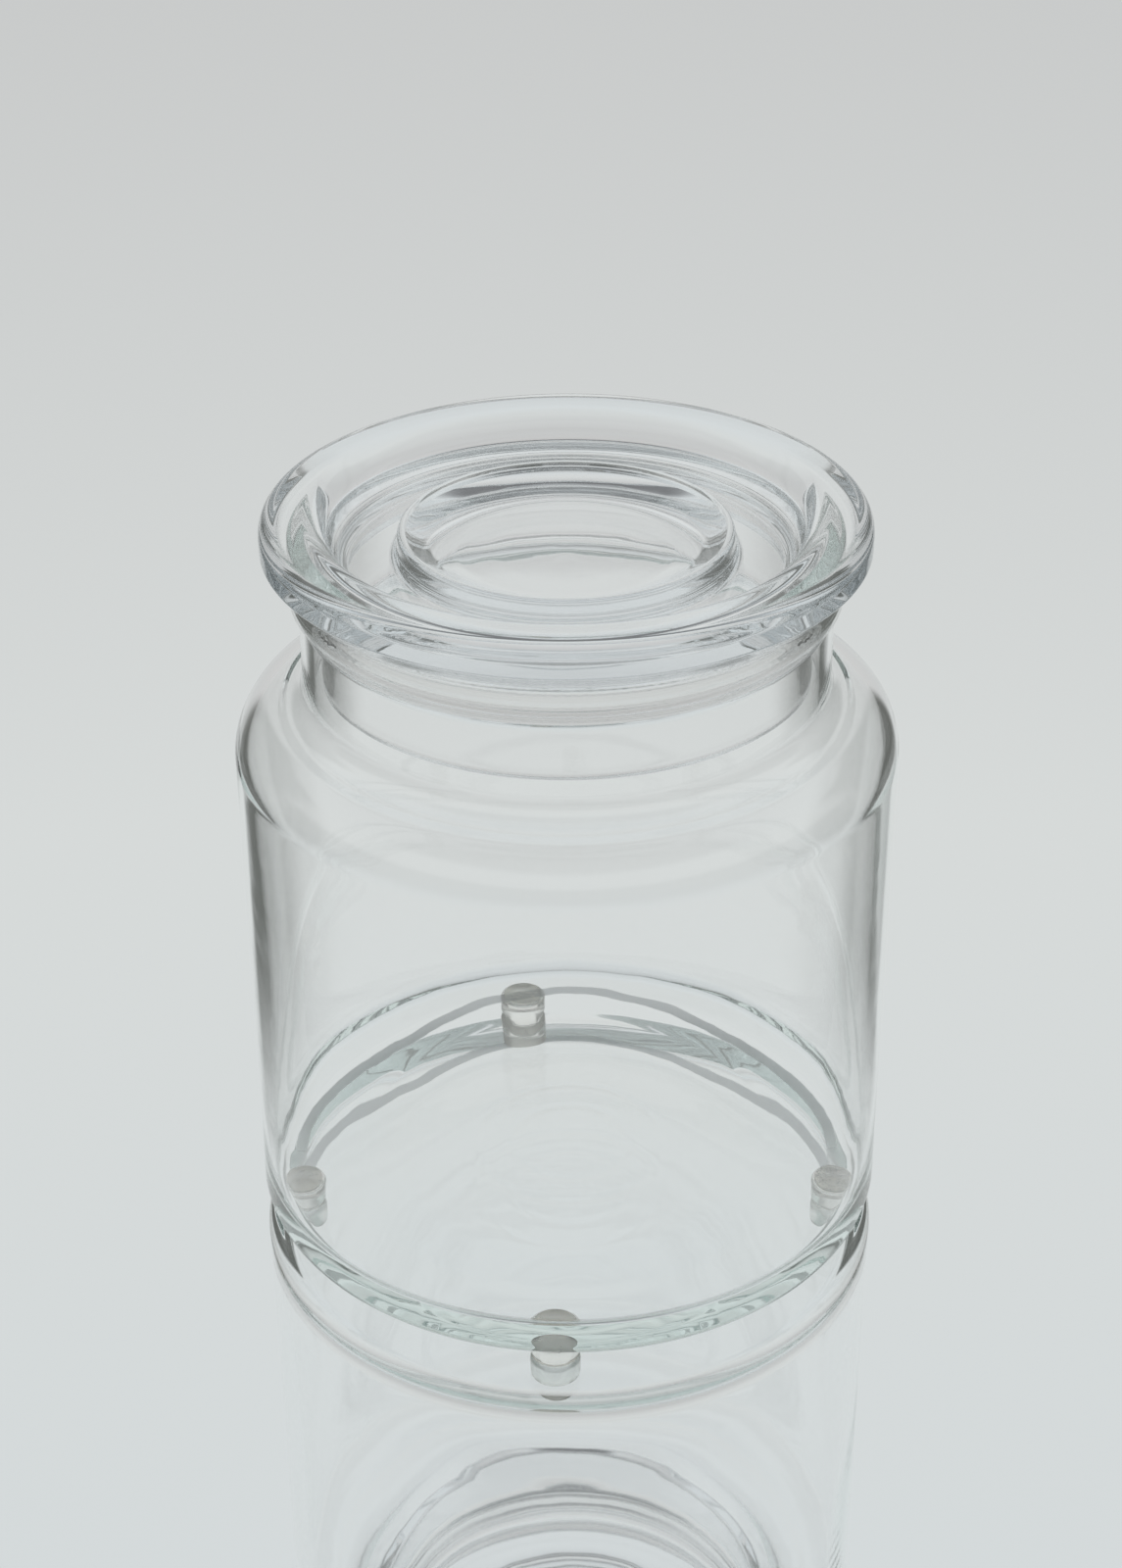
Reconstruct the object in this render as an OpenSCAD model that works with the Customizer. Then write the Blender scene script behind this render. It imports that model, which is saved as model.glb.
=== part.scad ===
// Clear glass specimen jar with a pressed glass plug lid, a flexible sealing
// ring and four soft bumper feet. Every solid is turned about the Z axis.
// Origin: centre of the floor plane under the feet. Z is up, -Y is the front.

/* [Jar body] */
// Outside diameter of the straight body wall
body_d = 130; // [124:0.5:136]
// Height of the glass jar from its underside to the top of the lip
jar_h = 142.25; // [134:0.25:156]
// Thickness of the body wall
wall_t = 2.7; // [2:0.1:3.5]
// Thickness of the solid glass base at its rim
base_t = 5.5; // [4.5:0.5:9]
// Inside radius where the wall meets the floor
corner_r = 3; // [2:0.5:5]
// Outside radius where the shoulder turns down into the body
shoulder_r = 11; // [9:0.5:11.5]
// Outside radius at the heel of the body
heel_r = 2.6; // [1.5:0.1:4]
// Depth of the shallow push-up under the base
pushup_h = 1.2; // [0.5:0.1:2]

/* [Neck] */
// Outside diameter of the neck
neck_d = 102.2; // [101.2:0.1:103]
// Bore of the neck
neck_bore_d = 97.6; // [97.5:0.1:98.2]
// Height of the neck from the shoulder to the top of the lip
neck_h = 28.4; // [27.4:0.2:31]
// Outside radius of the sweep from the shoulder into the neck
sweep_r = 4.2; // [3.4:0.2:4.8]
// Outside diameter of the thickened lip
lip_d = 105.4; // [104:0.1:107]
// Height of the thickened lip
lip_h = 6; // [4:0.5:8]

/* [Lid] */
// Outside diameter of the raised rim
rim_d = 115.6; // [112:0.1:120]
// Height of the rim above the lip it rests on
rim_h = 9.8; // [9:0.1:11]
// Depth of the finger groove below the top of the rim
groove_depth = 8.8; // [7:0.1:9.5]
// Outside diameter of the raised centre ring
ring_d = 64; // [60:0.5:68]
// Drop of the centre ring's crest below the top of the rim
ring_drop = 4; // [3:0.1:5]
// Depth of the dish inside the centre ring
dish_depth = 4.7; // [4.4:0.1:5.2]
// Outside diameter of the plug skirt below the seal
skirt_d = 94.6; // [94:0.1:95]
// Length of the plug skirt below the lip
skirt_l = 22; // [20:0.5:26]
// Thickness of the plug skirt
skirt_t = 3.6; // [3:0.1:4.5]
// Thickness of the glass under the finger groove
plate_t = 5.6; // [4.5:0.1:6.5]

/* [Seal] */
// Height of the sealing ring
seal_h = 9.4; // [8:0.1:10]
// Depth of the seat that the ring sits in
seat_depth = 0.8; // [0.5:0.1:1]
// Number of thin fins on the ring
fin_n = 3; // [2:1:4]
// Clear gap between the fins and the neck
fin_gap = 0.3; // [0.25:0.05:0.5]

/* [Feet] */
// Diameter of a bumper foot
foot_d = 10; // [8:0.5:11]
// Height of a bumper foot
foot_h = 5; // [4:0.25:6]
// Radius of the circle that the feet sit on
foot_r = 57.2; // [54:0.1:57.4]
// Thickness of the adhesive disc on a foot
pad_t = 0.25; // [0.15:0.05:0.4]

/* [Hidden] */
$fn = 96;

// Feet are stuck on by hand, so their bearings are a few degrees off square
a_front = -93;
a_right = -12.5;
a_back = 101;
a_left = -168.5;

R = body_d / 2;
z0 = foot_h + pad_t;          // underside of the glass
z_lip = z0 + jar_h;           // top of the lip, where the lid rests
z_sh = z_lip - neck_h;        // level where the shoulder meets the neck
z_in = z0 + base_t;           // inside floor
z_rim = z_lip + rim_h;        // top of the lid
z_groove = z_rim - groove_depth;
z_ring = z_rim - ring_drop;
z_dish = z_ring - dish_depth;
z_under = z_groove - plate_t; // ceiling of the hollow plug
rb = neck_bore_d / 2;
rn = neck_d / 2;
rl = lip_d / 2;
rr = rim_d / 2;
rs = skirt_d / 2;
seat_r = rs - seat_depth;
seat_z1 = z_lip - 0.8;
seat_z0 = seat_z1 - seal_h - 0.4;
zb = z_lip - skirt_l;         // lower edge of the plug

// Points on an arc about (cx, cz), from angle a to angle b
function arc(cx, cz, r, a, b, n = 8) =
    [for (i = [0:n]) let (t = a + (b - a) * i / n) [cx + r * cos(t), cz + r * sin(t)]];

module turned(pts) rotate_extrude() polygon(pts);

// Outer skin of the jar from the centre of the base up to the lip
function jar_outer() = concat(
    [[0, z0 + pushup_h], [R * 0.55, z0 + pushup_h * 0.7], [R * 0.72, z0]],
    arc(R - heel_r, z0 + heel_r, heel_r, -90, 0, 6),
    arc(R - shoulder_r, z_sh - 0.2 - shoulder_r, shoulder_r, 0, 80, 12),
    arc(rn + sweep_r, z_sh + sweep_r, sweep_r, 262, 180, 8),
    [[rn, z_lip - lip_h - 1.6], [rl, z_lip - lip_h]],
    arc(rl - 1.2, z_lip - 1.2, 1.2, 0, 90, 5));

// Inner skin of the jar from the lip down to the floor
function jar_inner() = concat(
    arc(rb + 0.8, z_lip - 0.8, 0.8, 90, 180, 4),
    arc(rn + sweep_r, z_sh + sweep_r, sweep_r + rn - rb, 180, 262, 8),
    arc(R - shoulder_r, z_sh - 0.2 - shoulder_r, shoulder_r - wall_t, 80, 0, 10),
    arc(R - wall_t - corner_r, z_in + corner_r + 0.2, corner_r, 0, -90, 6),
    [[R * 0.6, z_in + 0.2], [0, z_in]]);

module jar_body() {
    color([0.80, 0.86, 0.84, 0.35])
        turned(concat(jar_outer(), jar_inner()));
}

// Top and rim of the lid from the centre outwards, down to the underside
function lid_top() = concat(
    [[0, z_dish - 0.1], [14, z_dish - 0.05], [19, z_dish + 0.03]],
    arc(20, z_dish + 12.03, 12, -88, -60, 6),
    arc(ring_d / 2 - 1.2, z_ring - 1.1, 1.1, 122, 5, 7),
    [[ring_d / 2 + 0.2, z_groove + 1.2]],
    arc(ring_d / 2 + 1.7, z_groove + 1.3, 1.3, 190, 270, 4),
    arc(rr - 16.2, z_groove + 2, 2, -90, -20, 4),
    arc(rr - 8.2, z_rim - 4.7, 4.7, 168, 90, 8),
    arc(rr - 3, z_rim - 3, 3, 90, 0, 7),
    arc(rr - 1, z_lip + 4.1, 1, 0, -45, 3),
    [[rr - 3.4, z_lip]]);

// Plug skirt with the seat for the sealing ring, and the hollow inside it
function lid_plug() = concat(
    [[rs - 0.2, z_lip], [rs - 0.2, seat_z1], [seat_r, seat_z1], [seat_r, seat_z0], [rs, seat_z0]],
    arc(rs - 0.9, zb + 0.9, 0.9, 0, -90, 4),
    arc(rs - skirt_t + 1.1, zb + 0.7, 0.7, -90, -180, 4),
    arc(rs - skirt_t - 2.4, z_under - 2.2, 2.2, 10, 90, 6),
    [[24, z_under - 0.6], [0, z_under - 0.8]]);

module lid() {
    color([0.82, 0.87, 0.88, 0.35])
        turned(concat(lid_top(), lid_plug()));
}

// Outline of one fin, from its lower root to its upper root
function fin(r, z) = [for (k = [0:6]) [r + 0.35 * (1 - cos(60 * k)), z + 1.3 * k / 6]];

// Flexible ring: a thin band with a lead-in bevel and thin rounded fins
module lid_seal() {
    band_in = seat_r + 0.05;
    band_out = rb - fin_gap - 0.7;
    top = seat_z1 - 0.2;
    bottom = seat_z0 + 0.2;
    pitch = seal_h / (fin_n + 0.6);
    color([0.90, 0.89, 0.84, 0.5])
        turned(concat(
            [[band_in, top], [band_in, bottom], [band_out - 0.6, bottom], [band_out, bottom + 0.8]],
            [for (i = [0:fin_n - 1]) each fin(band_out, bottom + 1.2 + i * pitch)],
            [[band_out, top]]));
}

// Bumper foot: a short soft cylinder with a rounded lower edge
module bumper() {
    r = foot_d / 2;
    turned(concat(
        arc(r - 1.4, 1.4, 1.4, -90, 0, 6),
        [[r + 0.0, foot_h - 0.9]],
        arc(r - 0.5, foot_h - 0.5, 0.5, 0, 90, 4),
        [[0, foot_h], [0, 0]]));
}

module at_bearing(a) rotate([0, 0, a]) translate([foot_r, 0, 0]) children();

module foot_front() color([0.92, 0.90, 0.82, 0.6]) at_bearing(a_front) bumper();
module foot_right() color([0.92, 0.90, 0.82, 0.6]) at_bearing(a_right) bumper();
module foot_back() color([0.92, 0.90, 0.82, 0.6]) at_bearing(a_back) bumper();
module foot_left() color([0.92, 0.90, 0.82, 0.6]) at_bearing(a_left) bumper();

// Thin adhesive discs between the feet and the base
module foot_adhesive() {
    color([0.93, 0.90, 0.86, 0.6])
        for (a = [a_front, a_right, a_back, a_left])
            at_bearing(a) translate([0, 0, foot_h])
                cylinder(h = pad_t, d = foot_d - 1.4);
}

jar_body();
lid();
lid_seal();
foot_front();
foot_right();
foot_back();
foot_left();
foot_adhesive();
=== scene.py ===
import math

import bpy
import numpy as np
from mathutils import Matrix, Vector


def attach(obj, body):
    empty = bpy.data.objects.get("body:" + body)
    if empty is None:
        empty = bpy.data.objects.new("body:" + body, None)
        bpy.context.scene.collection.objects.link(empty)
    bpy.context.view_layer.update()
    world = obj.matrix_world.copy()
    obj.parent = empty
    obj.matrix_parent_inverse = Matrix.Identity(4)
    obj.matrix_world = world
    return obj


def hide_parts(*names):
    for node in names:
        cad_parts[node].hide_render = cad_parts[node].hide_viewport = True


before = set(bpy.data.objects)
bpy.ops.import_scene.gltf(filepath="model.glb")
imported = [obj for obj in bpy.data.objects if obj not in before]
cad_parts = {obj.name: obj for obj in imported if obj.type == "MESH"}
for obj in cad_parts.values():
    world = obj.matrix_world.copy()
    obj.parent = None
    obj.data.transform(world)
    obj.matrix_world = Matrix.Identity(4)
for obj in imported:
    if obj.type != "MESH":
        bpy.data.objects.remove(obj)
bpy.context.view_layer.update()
MM = 0.001


# ---------------------------------------------------------------- mesh helpers
def arc(cx, cz, r, a, b, n=16):
    t = np.radians(np.linspace(a, b, n + 1))
    return [(cx + r * math.cos(v), cz + r * math.sin(v)) for v in t]


def dense(points, step):
    """Adds points along the long stretches of a profile, so that waves in the glass have vertices to sit on."""
    out = [points[0]]
    for (r0, z0), (r1, z1) in zip(points[:-1], points[1:]):
        d = math.hypot(r1 - r0, z1 - z0)
        if d < 1e-6:
            continue
        n = max(1, int(math.ceil(d / step)))
        for i in range(1, n + 1):
            out.append((r0 + (r1 - r0) * i / n, z0 + (z1 - z0) * i / n))
    return out


def lathe(name, profile, segments, shape=None, centre=(0.0, 0.0), closed=False):
    """Turns a profile of (r, z) in mm about Z. A point at r = 0 becomes one vertex. shape(r, z, phi, i) moves the points."""
    prof = np.array(profile, float)
    phi = np.linspace(0, 2 * math.pi, segments, endpoint=False)
    verts, rows = [], []
    count = 0
    for i, (r, z) in enumerate(prof):
        if r < 1e-6:
            verts.append(np.array([[centre[0], centre[1], z]]))
            rows.append((count, 1))
            count += 1
            continue
        rr = np.full(segments, r)
        zz = np.full(segments, z)
        if shape is not None:
            rr, zz = shape(rr, zz, phi, i)
        verts.append(np.c_[centre[0] + rr * np.cos(phi), centre[1] + rr * np.sin(phi), zz])
        rows.append((count, segments))
        count += segments
    co = np.concatenate(verts) * MM
    faces = []
    pairs = list(zip(rows[:-1], rows[1:]))
    if closed:
        pairs.append((rows[-1], rows[0]))
    idx = np.arange(segments)
    nxt = (idx + 1) % segments
    for (a, na), (b, nb) in pairs:
        if na == 1 and nb == 1:
            continue
        if na == 1:
            faces += [(a, b + int(j), b + int(i)) for i, j in zip(idx, nxt)]
        elif nb == 1:
            faces += [(a + int(i), a + int(j), b) for i, j in zip(idx, nxt)]
        else:
            faces += [(a + int(i), a + int(j), b + int(j), b + int(i)) for i, j in zip(idx, nxt)]
    mesh = bpy.data.meshes.new(name)
    mesh.from_pydata([tuple(v) for v in co], [], faces)
    mesh.validate()
    mesh.shade_smooth()
    ob = bpy.data.objects.new(name, mesh)
    bpy.context.scene.collection.objects.link(ob)
    # outward normals
    import bmesh
    bm = bmesh.new()
    bm.from_mesh(mesh)
    bmesh.ops.recalc_face_normals(bm, faces=bm.faces)
    bm.to_mesh(mesh)
    bm.free()
    return ob


# ---------------------------------------------------------------- design sizes, mm, the same as the CAD's
R, FOOT_H, PAD = 65.0, 5.0, 0.25
Z0 = FOOT_H + PAD
Z_LIP = Z0 + 142.25
Z_SH = Z_LIP - 28.4
Z_IN = Z0 + 5.5
WALL, SH_R, HEEL, PUSH = 2.7, 11.0, 2.6, 1.2
FILLET = 4.2
RB, RN, RL = 48.8, 51.1, 52.7
LIP_H = 6.0
RR, RIM_H = 57.8, 9.8
Z_RIM = Z_LIP + RIM_H
Z_GROOVE = Z_RIM - 8.8
RING_R, Z_RING = 32.0, Z_RIM - 4.0
Z_DISH = Z_RING - 4.7
RS, SKIRT_T = 47.3, 3.6
ZB = Z_LIP - 22.0
Z_UNDER = Z_GROOVE - 5.6
SEAT_R = RS - 0.8
SEAT_1 = Z_LIP - 0.8
SEAT_0 = SEAT_1 - 9.4 - 0.4
FOOT_R = 57.2
BEARINGS = {"foot_front": -93.0, "foot_right": -12.5, "foot_back": 101.0, "foot_left": -168.5}


def waves(seed, terms, amp, zscale):
    """A smooth sum of waves round the jar and up it, seeded, with peak near amp mm."""
    rng = np.random.default_rng(seed)
    ks = rng.integers(1, 14, terms)
    ms = rng.uniform(-1.0, 1.0, terms) / zscale
    ph = rng.uniform(0, 2 * math.pi, terms)
    w = rng.uniform(0.4, 1.0, terms) / (0.6 + ks * 0.35)
    w *= amp / w.sum()

    def f(phi, z):
        out = np.zeros_like(phi)
        for k, m, p, a in zip(ks, ms, ph, w):
            out += a * np.cos(k * phi + m * z + p)
        return out

    return f


# ---------------------------------------------------------------- jar
def jar_profile():
    outer = [(0, Z0 + PUSH)]
    for m in (12.6, 20.0):                       # faint rings left by the mould on the underside
        z = Z0 + PUSH * (1 - 0.25 * m / (R * 0.55))
        outer += [(m - 0.9, z + 0.01), (m - 0.3, z - 0.05), (m + 0.3, z - 0.05), (m + 0.9, z - 0.01)]
    outer += [(R * 0.55, Z0 + PUSH * 0.7), (R * 0.72, Z0)]
    outer += arc(R - HEEL, Z0 + HEEL, HEEL, -90, 0, 18)
    outer += arc(R - SH_R, Z_SH - 0.2 - SH_R, SH_R, 0, 80, 30)
    outer += arc(RN + FILLET, Z_SH + FILLET, FILLET, 262, 180, 18)
    outer += [(RN, Z_LIP - LIP_H - 1.6), (RL, Z_LIP - LIP_H)]
    outer += arc(RL - 1.2, Z_LIP - 1.25, 1.2, 0, 90, 12)
    inner = arc(RB + 0.8, Z_LIP - 0.85, 0.8, 90, 180, 10)
    inner += arc(RN + FILLET, Z_SH + FILLET, FILLET + RN - RB, 180, 262, 20)
    inner += arc(R - SH_R, Z_SH - 0.2 - SH_R, SH_R - WALL, 80, 0, 24)
    inner += arc(R - WALL - 3, Z_IN + 3.2, 3, 0, -90, 20)
    inner += [(R * 0.6, Z_IN + 0.2), (0, Z_IN)]
    return dense(outer, 1.6), dense(inner, 1.6)


outer, inner = jar_profile()
w_in = waves(11, 26, 0.42, 16.0)
w_out = waves(5, 18, 0.12, 30.0)
n_outer = len(outer)


def jar_shape(rr, zz, phi, i):
    z, r = zz[0], rr[0]
    if i >= n_outer:
        body = np.clip((z - 18) / 12, 0, 1) * np.clip((Z_SH + 2 - z) / 8, 0, 1)
        rr = rr + body * w_in(phi, z) - 0.05 * body
    else:
        body = np.clip((z - Z0 - 3) / 10, 0, 1) * np.clip((Z_SH - z) / 8, 0, 1)
        rr = rr + body * (w_out(phi, z) - 0.12)
    return rr, zz


jar = lathe("jar_glass_body", outer + inner, 384, jar_shape)
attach(jar, "jar")
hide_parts("jar_body")


# ---------------------------------------------------------------- lid
def lid_profile():
    g = 0.04
    top = [(0, Z_DISH - 0.1), (14, Z_DISH - 0.05), (19, Z_DISH + 0.03)]
    top += arc(20.0, Z_DISH + 12.03, 12.0, -88, -60, 12)
    top += arc(RING_R - 1.2, Z_RING - 1.1, 1.1, 122, 5, 14)
    top += [(RING_R + 0.2, Z_GROOVE + 1.2)]
    top += arc(RING_R + 1.7, Z_GROOVE + 1.3, 1.3, 190, 270, 10)
    top += arc(RR - 16.2, Z_GROOVE + 2, 2, -90, -20, 10)
    top += arc(RR - 8.2, Z_RIM - 4.7, 4.7, 168, 90, 18)
    top += arc(RR - 3, Z_RIM - 3, 3, 90, 0, 18)
    top += arc(RR - 1, Z_LIP + 4.1, 1, 0, -45, 8)
    top += [(RR - 3.4, Z_LIP + g)]
    plug = [(RS - 0.2, Z_LIP + g), (RS - 0.2, SEAT_1), (SEAT_R, SEAT_1), (SEAT_R, SEAT_0), (RS, SEAT_0)]
    plug += arc(RS - 0.9, ZB + 0.9, 0.9, 0, -90, 10)
    plug += arc(RS - SKIRT_T + 1.1, ZB + 0.7, 0.7, -90, -180, 8)
    plug += arc(RS - SKIRT_T - 2.4, Z_UNDER - 2.2, 2.2, 10, 90, 12)
    plug += [(24, Z_UNDER - 0.6), (0, Z_UNDER - 0.8)]
    return dense(top + plug, 1.6)


lid = lathe("lid_pressed_glass", lid_profile(), 720)
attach(lid, "lid")
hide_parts("lid")


# ---------------------------------------------------------------- seal ring
def seal_profile():
    bi = SEAT_R + 0.05
    bo = RB - 0.3 - 0.7
    top, bottom = SEAT_1 - 0.2, SEAT_0 + 0.2
    pitch = 9.4 / 3.6
    p = [(bi, top), (bi, bottom), (bo - 0.6, bottom), (bo, bottom + 0.8)]
    for i in range(3):
        z = bottom + 1.2 + i * pitch
        p += [(bo + 0.35 * (1 - math.cos(2 * math.pi * k / 12)), z + 1.3 * k / 12) for k in range(13)]
    p += [(bo, top)]
    return p


def seal_shape(rr, zz, phi, i):
    k = np.clip((rr[0] - (RB - 1.0)) / 0.7, 0, 1)
    return rr - k * 0.09 * (0.5 + 0.5 * np.cos(phi * 150)), zz


seal = lathe("lid_seal_ring", seal_profile(), 900, seal_shape, closed=True)
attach(seal, "seal")
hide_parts("lid_seal")


# ---------------------------------------------------------------- feet
def foot_profile():
    r = 5.0
    p = [(0, 0.0)]
    p += arc(r - 1.4, 1.4, 1.4, -90, 0, 12)
    p += [(r, FOOT_H - 0.9)]
    p += arc(r - 0.5, FOOT_H - 0.5, 0.5, 0, 90, 8)
    p += [(0, FOOT_H)]
    return dense(p, 0.8)


def foot_shape(rr, zz, phi, i):
    return rr, zz


feet = []
for node, a in BEARINGS.items():
    c = (FOOT_R * math.cos(math.radians(a)), FOOT_R * math.sin(math.radians(a)))
    foot = lathe(node + "_bumper", foot_profile(), 96, foot_shape, centre=c)
    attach(foot, "jar")
    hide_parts(node)
    feet.append(foot)


# ---------------------------------------------------------------- materials
def new_material(name):
    m = bpy.data.materials.new(name)
    m.use_nodes = True
    nt = m.node_tree
    bsdf = nt.nodes["Principled BSDF"]
    return m, nt, bsdf


def glass(name, tint, ior, rough, bump, scale, volume=None):
    m, nt, b = new_material(name)
    b.inputs["Transmission Weight"].default_value = 1.0
    b.inputs["IOR"].default_value = ior
    b.inputs["Base Color"].default_value = (*tint, 1)
    tc = nt.nodes.new("ShaderNodeTexCoord")
    n = nt.nodes.new("ShaderNodeTexNoise")
    n.inputs["Scale"].default_value = scale
    n.inputs["Detail"].default_value = 2
    nt.links.new(tc.outputs["Object"], n.inputs["Vector"])
    bp = nt.nodes.new("ShaderNodeBump")
    bp.inputs["Strength"].default_value = bump
    bp.inputs["Distance"].default_value = 0.001
    nt.links.new(n.outputs["Fac"], bp.inputs["Height"])
    nt.links.new(bp.outputs["Normal"], b.inputs["Normal"])
    r = nt.nodes.new("ShaderNodeMapRange")
    r.inputs["To Min"].default_value = rough[0]
    r.inputs["To Max"].default_value = rough[1]
    nt.links.new(n.outputs["Fac"], r.inputs["Value"])
    nt.links.new(r.outputs["Result"], b.inputs["Roughness"])
    if volume:
        v = nt.nodes.new("ShaderNodeVolumeAbsorption")
        v.inputs["Color"].default_value = (*volume[0], 1)
        v.inputs["Density"].default_value = volume[1]
        nt.links.new(v.outputs["Volume"], nt.nodes["Material Output"].inputs["Volume"])
    return m


def dress(ob, mat):
    ob.data.materials.clear()
    ob.data.materials.append(mat)


m_jar = glass("jar_glass", (1, 1, 1), 1.5, (0.0, 0.015), 0.03, 55, ((0.87, 0.93, 0.915), 12.0))
m_lid = glass("lid_glass", (1, 1, 1), 1.5, (0.0, 0.015), 0.03, 70, ((0.88, 0.91, 0.93), 12.0))
m_seal = glass("seal_clear", (0.99, 0.985, 0.98), 1.22, (0.0, 0.06), 0.02, 400)
m_foot = glass("foot_clear", (0.975, 0.98, 0.95), 1.47, (0.05, 0.2), 0.06, 300)
m_pad = glass("adhesive_clear", (0.97, 0.94, 0.9), 1.45, (0.2, 0.4), 0.1, 300)


def frosted_ring_with_painted_reflection(m):
    """The bearing ring moulded into the underside: a narrow matt band, not quite round, painted grey as a dark
    reflection seen through the base, on the back half only.
    """
    nt = m.node_tree
    b = nt.nodes["Principled BSDF"]

    def math_node(op, x, y=None, clamp=False):
        n = nt.nodes.new("ShaderNodeMath")
        n.operation = op
        n.use_clamp = clamp
        for i, v in enumerate((x, y)):
            if v is None:
                continue
            if isinstance(v, (int, float)):
                n.inputs[i].default_value = v
            else:
                nt.links.new(v, n.inputs[i])
        return n.outputs[0]

    tc = nt.nodes.new("ShaderNodeTexCoord")
    sp = nt.nodes.new("ShaderNodeSeparateXYZ")
    nt.links.new(tc.outputs["Object"], sp.inputs[0])
    x, y, z = sp.outputs
    rad = math_node("SQRT", math_node("ADD", math_node("MULTIPLY", x, x), math_node("MULTIPLY", y, y)))
    noise = nt.nodes.new("ShaderNodeTexNoise")
    noise.inputs["Scale"].default_value = 45.0
    noise.inputs["Detail"].default_value = 3.0
    nt.links.new(tc.outputs["Object"], noise.inputs["Vector"])
    lobes = math_node("COSINE", math_node("MULTIPLY", math_node("ARCTAN2", y, x), 4.0))
    mean = math_node("ADD", math_node("MULTIPLY", lobes, 0.0023), 0.0551)
    mean = math_node("ADD", mean, math_node("MULTIPLY", math_node("SUBTRACT", noise.outputs["Fac"], 0.5), 0.004))
    off = math_node("ABSOLUTE", math_node("SUBTRACT", rad, mean))
    band = math_node("SUBTRACT", 1.0, math_node("MULTIPLY", math_node("SUBTRACT", off, 0.0013), 2500.0, True), True)
    under = math_node("LESS_THAN", z, (Z0 + 0.6) * MM)
    # mask for the matt band and its painted grey dark reflection
    matt_and_painted_dark_mask = math_node("MULTIPLY", band, under)
    painted_back_half_fade = math_node("MULTIPLY", math_node("ADD", y, 0.012), 60.0, True)       # painted dark reflection and matt band faded out towards the front, kept to the back half where the dark arc is seen
    matt_and_painted_dark_mask = math_node("MULTIPLY", matt_and_painted_dark_mask, painted_back_half_fade)
    rough = b.inputs["Roughness"].links[0].from_socket
    nt.links.new(math_node("ADD", rough, math_node("MULTIPLY", matt_and_painted_dark_mask, 0.45), True), b.inputs["Roughness"])
    mix = nt.nodes.new("ShaderNodeMix")
    mix.data_type = "RGBA"
    mix.inputs[6].default_value = b.inputs["Base Color"].default_value
    # painted grey: a painted dark reflection on the underside ring, not the glass's own colour
    mix.inputs[7].default_value = (0.42, 0.44, 0.45, 1)
    nt.links.new(matt_and_painted_dark_mask, mix.inputs[0])
    nt.links.new(mix.outputs[2], b.inputs["Base Color"])


frosted_ring_with_painted_reflection(m_jar)
dress(jar, m_jar)
dress(lid, m_lid)
dress(seal, m_seal)
for f in feet:
    dress(f, m_foot)
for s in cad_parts["foot_adhesive"].material_slots:
    s.material = m_pad


# ---------------------------------------------------------------- stage: a pale polished floor
bpy.ops.mesh.primitive_plane_add(size=16, location=(0, 0, -0.00002))
floor = bpy.context.object
floor.name = "stage_floor"
m_floor, nt, b = new_material("stage_floor")
b.inputs["Base Color"].default_value = (0.93, 0.945, 0.95, 1)
b.inputs["Metallic"].default_value = 1.0
b.inputs["Roughness"].default_value = 0.02
dress(floor, m_floor)

world = bpy.data.worlds.new("studio")
bpy.context.scene.world = world
world.use_nodes = True
wn = world.node_tree
bg = wn.nodes["Background"]
tc = wn.nodes.new("ShaderNodeTexCoord")
sep = wn.nodes.new("ShaderNodeSeparateXYZ")
wn.links.new(tc.outputs["Generated"], sep.inputs[0])


def wmath(op, a, b=None, c=None, clamp=False):
    n = wn.nodes.new("ShaderNodeMath")
    n.operation = op
    n.use_clamp = clamp
    for i, v in enumerate((a, b, c)):
        if v is None:
            continue
        if isinstance(v, (int, float)):
            n.inputs[i].default_value = v
        else:
            wn.links.new(v, n.inputs[i])
    return n.outputs[0]


def wsmooth(v, lo, hi):
    """0 below lo, 1 above hi, smooth between."""
    n = wn.nodes.new("ShaderNodeMapRange")
    n.interpolation_type = "SMOOTHSTEP"
    n.inputs["From Min"].default_value = lo
    n.inputs["From Max"].default_value = hi
    wn.links.new(v, n.inputs["Value"])
    return n.outputs["Result"]


X, Y, Z = sep.outputs
az = wmath("ABSOLUTE", wmath("ARCTAN2", X, Y))          # 0 straight behind the jar, pi at the photographer
el = wmath("ARCSINE", Z)
ramp = wn.nodes.new("ShaderNodeValToRGB")
wn.links.new(wmath("DIVIDE", el, math.pi / 2, clamp=True), ramp.inputs["Fac"])
cr = ramp.color_ramp
cr.elements[0].position = 0.0
cr.elements[0].color = (0.60, 0.605, 0.60, 1)
cr.elements[1].position = 1.0
cr.elements[1].color = (0.60, 0.62, 0.63, 1)
for pos, col in ((0.16, (0.62, 0.625, 0.62)), (0.34, (0.725, 0.74, 0.73)), (0.52, (0.71, 0.74, 0.745)), (0.7, (0.66, 0.69, 0.70))):
    e = cr.elements.new(pos)
    e.color = (*col, 1)
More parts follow.
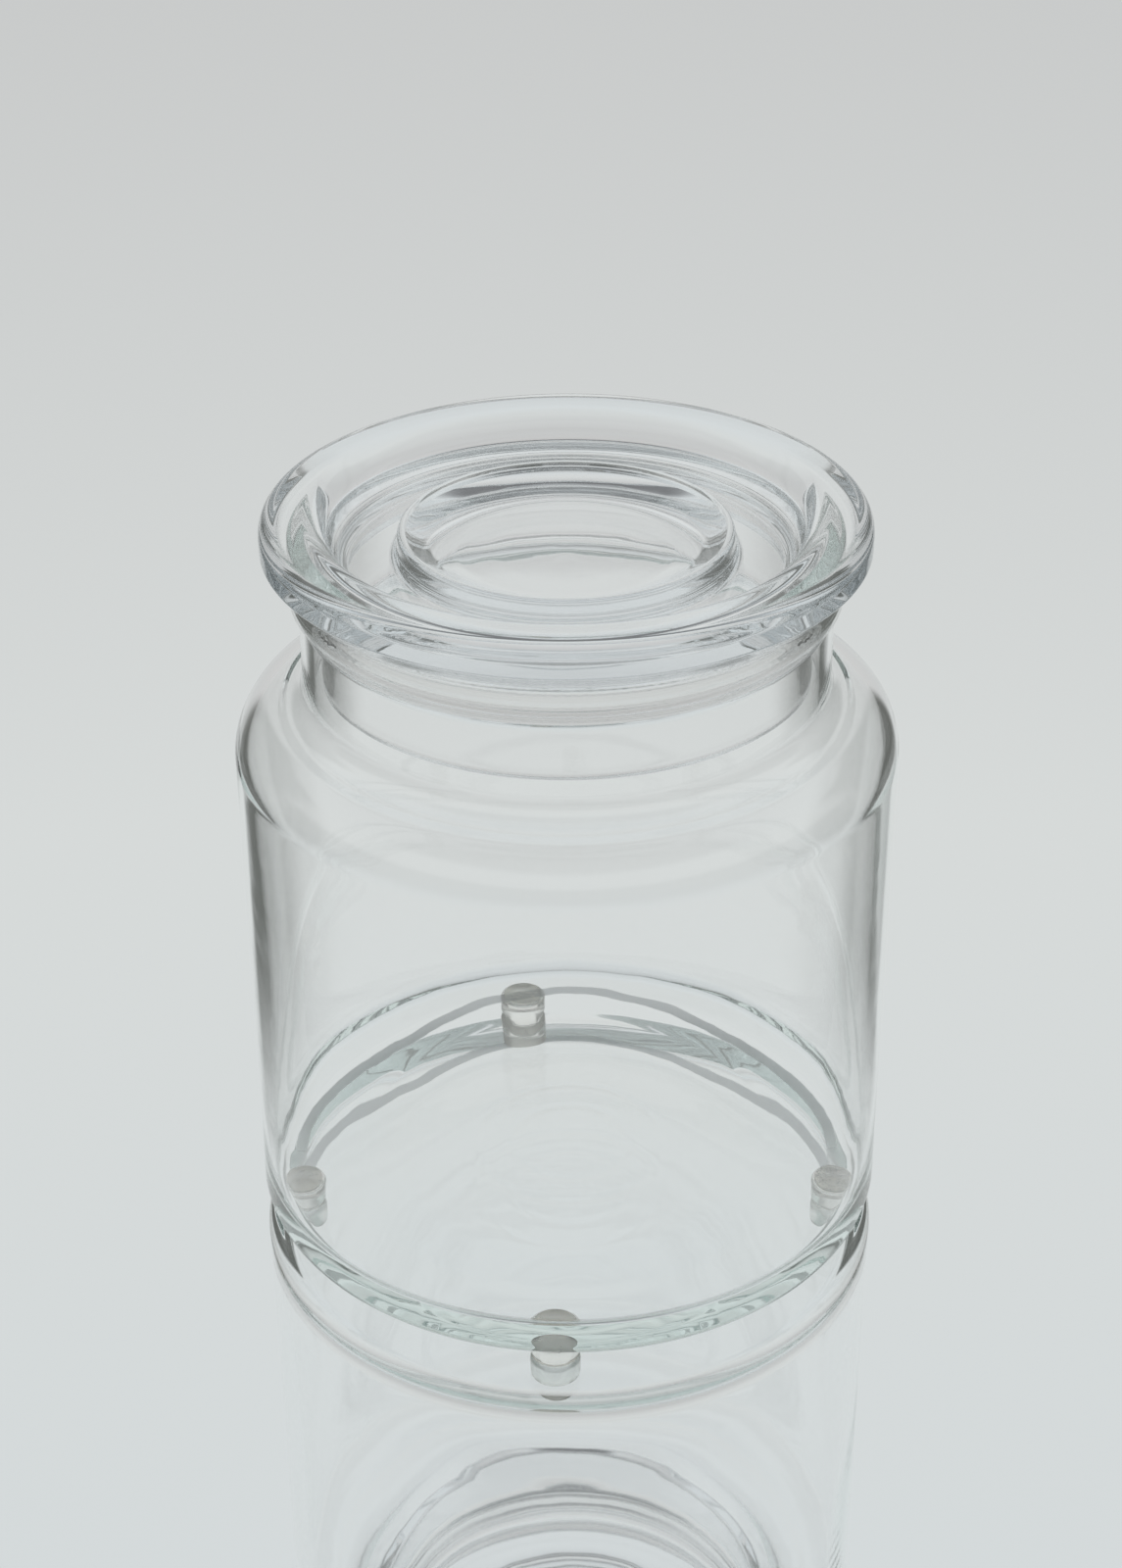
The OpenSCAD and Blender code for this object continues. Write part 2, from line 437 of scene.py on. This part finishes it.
# the unlit room: low down on both sides of the backdrop, and above and behind the camera
low = wmath("MULTIPLY", wsmooth(az, math.radians(26), math.radians(32)), wmath("SUBTRACT", 1.0, wsmooth(el, math.radians(33), math.radians(38))))
low = wmath("MULTIPLY", low, wmath("SUBTRACT", 1.0, wsmooth(az, math.radians(62), math.radians(78))))
edge = wmath("MULTIPLY", wsmooth(az, math.radians(60), math.radians(76)), wmath("SUBTRACT", 1.0, wsmooth(el, math.radians(12), math.radians(22))))
low = wmath("MAXIMUM", low, wmath("MULTIPLY", edge, 0.9))
up = wsmooth(wmath("ADD", wmath("MULTIPLY", Y, -0.62), wmath("MULTIPLY", Z, 0.78)), 0.55, 0.8)
up = wmath("MULTIPLY", up, wsmooth(el, math.radians(42), math.radians(54)))


def wmix(fac, a, b):
    n = wn.nodes.new("ShaderNodeMix")
    n.data_type = "RGBA"
    wn.links.new(fac, n.inputs[0])
    for sock, v in ((n.inputs[6], a), (n.inputs[7], b)):
        if isinstance(v, tuple):
            sock.default_value = (*v, 1)
        else:
            wn.links.new(v, sock)
    return n.outputs[2]


sky = wmix(wmath("MULTIPLY", low, 0.93), ramp.outputs["Color"], (0.10, 0.105, 0.095))
sky = wmix(wmath("MULTIPLY", up, 0.93), sky, (0.13, 0.13, 0.135))
wn.links.new(sky, bg.inputs["Color"])


# ---------------------------------------------------------------- camera
cam_data = bpy.data.cameras.new("camera")
cam = bpy.data.objects.new("camera", cam_data)
bpy.context.scene.collection.objects.link(cam)
cam_data.sensor_fit = "VERTICAL"
cam_data.sensor_height = 36.0
cam_data.lens = 2816.9 * 36.0 / 1600.0
cam_data.clip_start = 0.01
cam_data.clip_end = 50
PITCH = 0.528958182
cam.matrix_world = (
    Matrix.Translation(Vector((-1.24055, -473.365, 373.687)) * MM)
    @ Matrix.Rotation(math.pi / 2 - PITCH, 4, "X")
    @ Matrix.Rotation(-0.0056965, 4, "Z")
)
bpy.context.scene.camera = cam
bpy.context.scene.view_settings.view_transform = "Standard"
cy = bpy.context.scene.cycles
cy.max_bounces = 64
cy.transmission_bounces = 64
cy.glossy_bounces = 64
